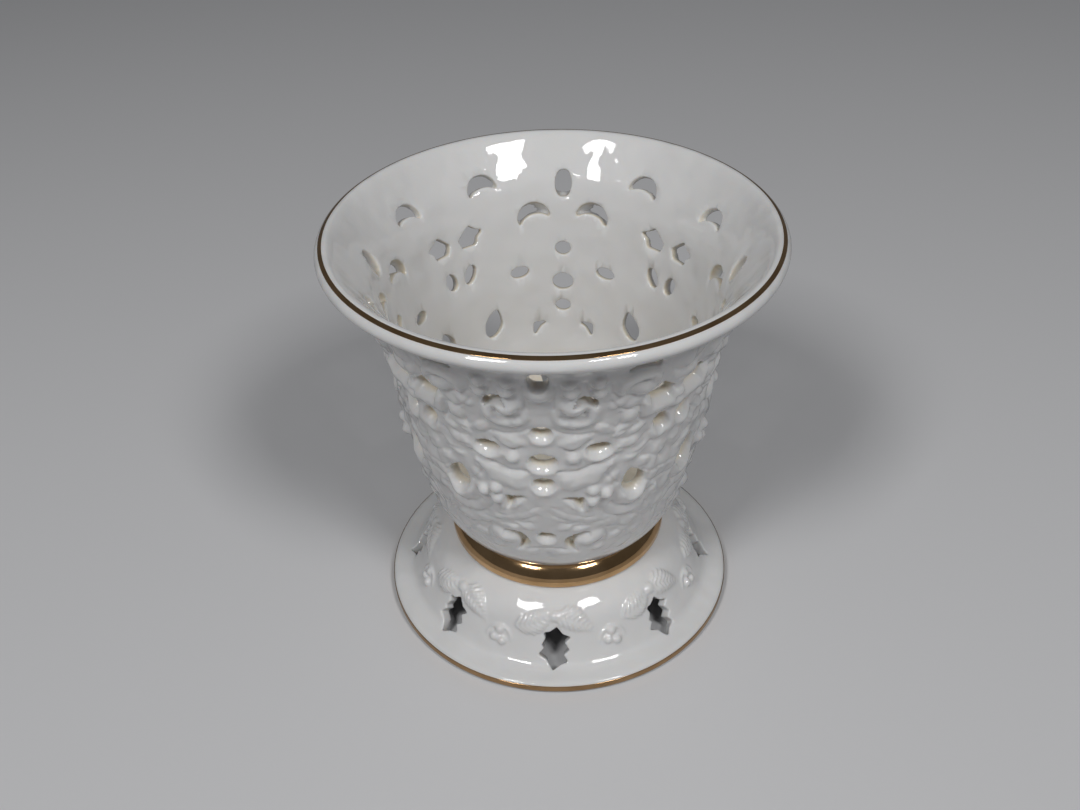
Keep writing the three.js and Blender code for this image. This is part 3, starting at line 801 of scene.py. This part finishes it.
# width and depth of a groove, and its path in degrees from the panel's middle and height
GROOVES = [
    (0.5, 0.51, [(5.2, 67.2), (11.0, 66.9), (17.0, 68.9), (24.0, 70.4)]),
    (0.5, 0.55, [(6.2, 87.6), (7.0, 86.2), (9.5, 85.3), (13.0, 85.6)]),
    (0.5, 0.55, [(26.2, 92.4), (28.0, 93.5), (31.4, 93.2)]),
    (0.5, 0.39, [(24.0, 54.6), (27.0, 52.6), (31.0, 51.5), (36.5, 51.6), (40.5, 55.0)]),
    (0.45, 0.35, [(3.6, 80.8), (7.0, 79.3), (12.0, 78.6), (16.0, 78.9)]),
    (0.45, 0.39, [(6.4, 75.0), (9.0, 73.8), (12.6, 74.6), (15.0, 76.4)]),
    (0.4, 0.35, [(20.5, 88.2), (23.5, 85.4), (26.0, 84.3), (30.6, 84.1)]),
    (0.4, 0.35, [(24.2, 83.5), (24.3, 80.0), (22.6, 77.2)]),
    (0.4, 0.35, [(30.4, 83.6), (31.0, 80.2), (33.0, 78.6)]),
    (0.4, 0.31, [(17.4, 82.0), (20.0, 81.2), (23.6, 78.8)]),
    (0.35, 0.27, [(24.4, 78.0), (28.0, 77.6), (31.0, 78.8)]),
    (0.35, 0.27, [(24.6, 75.4), (28.0, 74.8), (33.4, 77.2)]),
    (0.35, 0.27, [(25.0, 72.4), (29.0, 71.6), (35.6, 75.0)]),
    (0.35, 0.27, [(28.0, 69.4), (32.0, 69.4), (37.0, 71.4)]),
    (0.4, 0.31, [(33.4, 67.6), (37.0, 66.9), (42.0, 64.9)]),
    (0.35, 0.27, [(35.6, 62.6), (39.0, 61.2), (44.0, 61.4)]),
    (0.35, 0.27, [(37.2, 58.6), (41.0, 57.0), (45.0, 57.4)]),
    (0.35, 0.27, [(38.6, 88.6), (41.6, 86.6), (45.0, 84.0)]),
    (0.35, 0.27, [(36.0, 95.4), (39.4, 92.6), (43.6, 90.8)]),
    (0.4, 0.35, [(20.0, 94.0), (20.6, 90.8), (23.4, 89.2), (27.6, 88.6)]),
    (0.35, 0.31, [(12.6, 95.6), (13.2, 93.4), (14.4, 91.8)]),
    (0.35, 0.27, [(4.6, 95.0), (4.4, 91.0), (4.0, 87.4)]),
    (0.4, 0.31, [(22.6, 67.2), (20.6, 65.4), (22.6, 63.6), (25.4, 61.0)]),
    (0.35, 0.20, [(2.6, 55.2), (8.0, 52.8), (14.0, 50.9), (19.0, 50.4)]),
    (0.35, 0.20, [(3.0, 52.0), (9.0, 49.6), (15.4, 48.0), (21.0, 48.3)]),
    (0.35, 0.27, [(19.0, 54.0), (23.0, 50.2), (28.4, 48.4), (34.0, 47.9)]),
    (0.35, 0.27, [(21.4, 46.0), (27.4, 44.6), (33.0, 43.0)]),
    (0.35, 0.27, [(30.4, 48.0), (36.0, 47.0), (41.0, 43.6)]),
    (0.35, 0.27, [(38.4, 51.0), (42.0, 47.8), (45.0, 43.4)]),
    (0.35, 0.27, [(28.6, 42.6), (33.0, 40.6), (37.6, 37.4)]),
    (0.4, 0.31, [(22.6, 45.0), (24.8, 42.0), (24.0, 38.8)]),
    (0.35, 0.23, [(5.4, 49.2), (8.6, 48.6), (11.6, 48.9)]),
    (0.35, 0.23, [(10.6, 47.6), (13.4, 47.5), (17.0, 47.2)]),
    (0.4, 0.3, [(0.0, 38.9), (5.0, 38.6), (9.4, 37.2)]),
]

cup_wall = spun("pierced_cup_shown", refined(CUP_OUTSIDE + CUP_INSIDE, CUP_SPACING), CUP_STEPS)
cup = cast("pierced_cup_shown", cup_wall, cup_forms, cup_tools, CUP_GRAIN, CUP_SOFTENING)


def polar(co):
    """Radii and heights in millimetres."""
    return np.hypot(co[:, 0], co[:, 1]) / MM, co[:, 2] / MM


# The mould's inner half is smooth, so the inner wall and the lip lie true to their outline.
# A point near the outline is drawn onto it, and one farther off lies in a piercing and stays.
OUTLINE_SPACING = 0.15
INNER_FLOOR = 27.3
INNER_LOW = 29
INNER_HIGH = 107.2
INNER_REACH = 0.14
INNER_HOLD = 1.6

outline_rows = np.array(refined(CUP_OUTSIDE + CUP_INSIDE, OUTLINE_SPACING))
inner_rows = outline_rows[outline_rows[:, 1].argmax():]
inner_rows = inner_rows[inner_rows[:, 1] > INNER_FLOOR][::-1]
co = points_of(cup)
radius, height = polar(co)
gap = np.interp(height, inner_rows[:, 1], inner_rows[:, 0]) - radius
near = np.clip(INNER_HOLD - np.abs(gap) / INNER_REACH, 0, 1) * (height > INNER_LOW) * (height < INNER_HIGH)
scale = 1 + near * gap / np.maximum(radius, 1)
co[:, 0] *= scale
co[:, 1] *= scale
set_points(cup, co)

RELIEF_SUNK = 0.5  # points deeper in the wall than this lie in a piercing
GROOVES_LOW = 32
GROOVES_HIGH = 98


def on_relief(radius, height, low, high):
    """Picks the points of the moulded side of the cup between two heights."""
    return np.flatnonzero((radius > cup_radius(height) - RELIEF_SUNK) & (height > low) & (height < high))


def carve(piece, turn, lines, low, high):
    """Presses narrow grooves into the moulded side, along paths of degrees and height in half a panel."""
    co = points_of(piece)
    radius, height = polar(co)
    chosen = on_relief(radius, height, low, high)
    pitch = 360 / PANELS
    bearing = np.degrees(np.arctan2(co[chosen, 0], -co[chosen, 1])) - turn
    bearing = np.abs((bearing + pitch / 2) % pitch - pitch / 2)
    across = np.radians(bearing) * radius[chosen]
    up = height[chosen]
    depth = np.zeros(len(chosen))
    for width, sink, path in lines:
        gap = np.full(len(chosen), np.inf)
        for (a0, z0), (a1, z1) in zip(path, path[1:]):
            start = np.stack([across - np.radians(a0) * radius[chosen], up - z0])
            along = np.stack([np.radians(a1 - a0) * radius[chosen], np.full(len(chosen), z1 - z0)])
            share = np.clip((start * along).sum(axis=0) / (along**2).sum(axis=0), 0, 1)
            gap = np.minimum(gap, np.hypot(*(start - along * share)))
        depth = np.maximum(depth, sink * np.exp(-(gap / width) ** 2))
    scale = 1 - depth / radius[chosen]
    co[chosen, 0] *= scale
    co[chosen, 1] *= scale
    set_points(piece, co)


carve(cup, PANEL_TURN, GROOVES, GROOVES_LOW, GROOVES_HIGH)

# The glaze lies a little unevenly on the relief.
SWELL = 0.16
SWELL_LENGTH = 2.6
SWELL_LOW = 33
SWELL_HIGH = 98.5

co = points_of(cup)
rough = on_relief(*polar(co), SWELL_LOW, SWELL_HIGH)
swell = np.array([noise.noise(Vector(p) / (SWELL_LENGTH * MM))
                  + 0.5 * noise.noise(Vector(p) / (SWELL_LENGTH / 2 * MM)) for p in co[rough]])
co[rough, :2] *= (1 + SWELL * MM * swell / np.hypot(co[rough, 0], co[rough, 1]))[:, None]
set_points(cup, co)
thinned(cup, CUP_TRIANGLES)
bpy.ops.object.shade_smooth()

INNER_SKIN = 0.12  # what is deeper in the wall than this lies in a piercing
PIERCED_LOW = 34
BOWL_LOW = 26.5
BOWL_MOST = 0.8


def fading(values, none, full):
    """Runs from 0 at one value to 1 at another."""
    return np.clip((values - none) / (full - none), 0, 1)


# Painted shade: a warm tan is mixed into the china in the piercings, deepest near the inner wall, and low
# in the bowl.
# In the piercings it is partly glaze lying thick and partly painted shade. Low in the bowl it is painted
# shade only, standing for light bounced within the china.
# The attribute says where, and the china's material reads it.
radius, height = polar(points_of(cup))
depth = radius - np.interp(height, inner_rows[:, 1], inner_rows[:, 0])
piercing_glaze_and_shade = fading(depth, INNER_SKIN, 0.42) * fading(depth, 2.5, 1.2)
piercing_glaze_and_shade *= fading(height, 103, 93) * (height > PIERCED_LOW)
bowl_painted_shade = np.minimum(fading(height, 52, 38), BOWL_MOST) * (depth < INNER_SKIN) * (height > BOWL_LOW)
pierced = cup.data.attributes.new("pierced", "FLOAT", "POINT")
pierced.data.foreach_set("value", np.maximum(piercing_glaze_and_shade, bowl_painted_shade).astype(np.float32))
cup.data.materials.append(china)
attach(cup, "root")
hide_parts("pierced_cup")


# Gold line on the lip: a band of liquid gold brushed on the lip's outer shoulder over the
# fired glaze, and fired on together with the bead's gold and the foot's line.
LIP_UNDERSIDE = 102.5
GOLD_RIM_LOW = 107.32
GOLD_RIM_INNER = 51.6

lip = refined([p for p in CUP_OUTSIDE if p[1] > LIP_UNDERSIDE], 0.1)
rim_line = gold_band("gold_rim_line_shown", lip, lambda r, z: z >= GOLD_RIM_LOW and r >= GOLD_RIM_INNER)
rim_line.data.materials.append(gold)
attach(rim_line, "root")
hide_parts("gold_rim_line")


# Studio: a pale floor, soft light from all round, and two soft lamps over the front. What the
# floor throws back into the glaze and the gold is duller than what the camera sees of it.
FLOOR_SEEN = (0.7, 0.7, 0.71, 1)
FLOOR_THROWN_BACK = (0.43, 0.43, 0.44, 1)
FLOOR_SIZE = 6
FLOOR_PLACE = (0, 1, -0.0001)
LAMP_SIZE = (0.2, 0.24)
LAMP_POWER = 3.45
LAMP_PLACE = (0.372, -0.55, 0.845)
LAMP_AIM = (0, 0, 0.06)
ROOM_LIGHT = (0.93, 0.95, 1.0, 1)
ROOM_STRENGTH = 0.09

bpy.ops.object.select_all(action="DESELECT")
bpy.ops.mesh.primitive_plane_add(size=FLOOR_SIZE, location=FLOOR_PLACE)
floor = bpy.context.object
floor.name = "floor"
paper = bpy.data.materials.new("floor_paper")
paper.use_nodes = True
paper_nodes = paper.node_tree.nodes
paper_nodes["Principled BSDF"].inputs["Roughness"].default_value = 0.9
seen = paper_nodes.new("ShaderNodeLightPath")
sheet = paper_nodes.new("ShaderNodeMix")
sheet.data_type = "RGBA"
sheet.inputs["A"].default_value = FLOOR_THROWN_BACK
sheet.inputs["B"].default_value = FLOOR_SEEN
paper.node_tree.links.new(seen.outputs["Is Camera Ray"], sheet.inputs["Factor"])
paper.node_tree.links.new(sheet.outputs["Result"], paper_nodes["Principled BSDF"].inputs["Base Color"])
floor.data.materials.append(paper)

for side in (-1, 1):
    bpy.ops.object.light_add(type="AREA")
    lamp = bpy.context.object
    lamp.name = "lamp_left" if side < 0 else "lamp_right"
    lamp.data.shape = "RECTANGLE"
    lamp.data.size, lamp.data.size_y = LAMP_SIZE
    lamp.data.energy = LAMP_POWER
    spot = Vector((side * LAMP_PLACE[0], LAMP_PLACE[1], LAMP_PLACE[2]))
    aim = Vector(LAMP_AIM) - spot
    lamp.matrix_world = Matrix.Translation(spot) @ aim.to_track_quat("-Z", "Y").to_matrix().to_4x4()

world = bpy.data.worlds.new("studio")
bpy.context.scene.world = world
world.use_nodes = True
world.node_tree.nodes["Background"].inputs["Color"].default_value = ROOM_LIGHT
world.node_tree.nodes["Background"].inputs["Strength"].default_value = ROOM_STRENGTH

bpy.context.scene.view_settings.view_transform = "Standard"
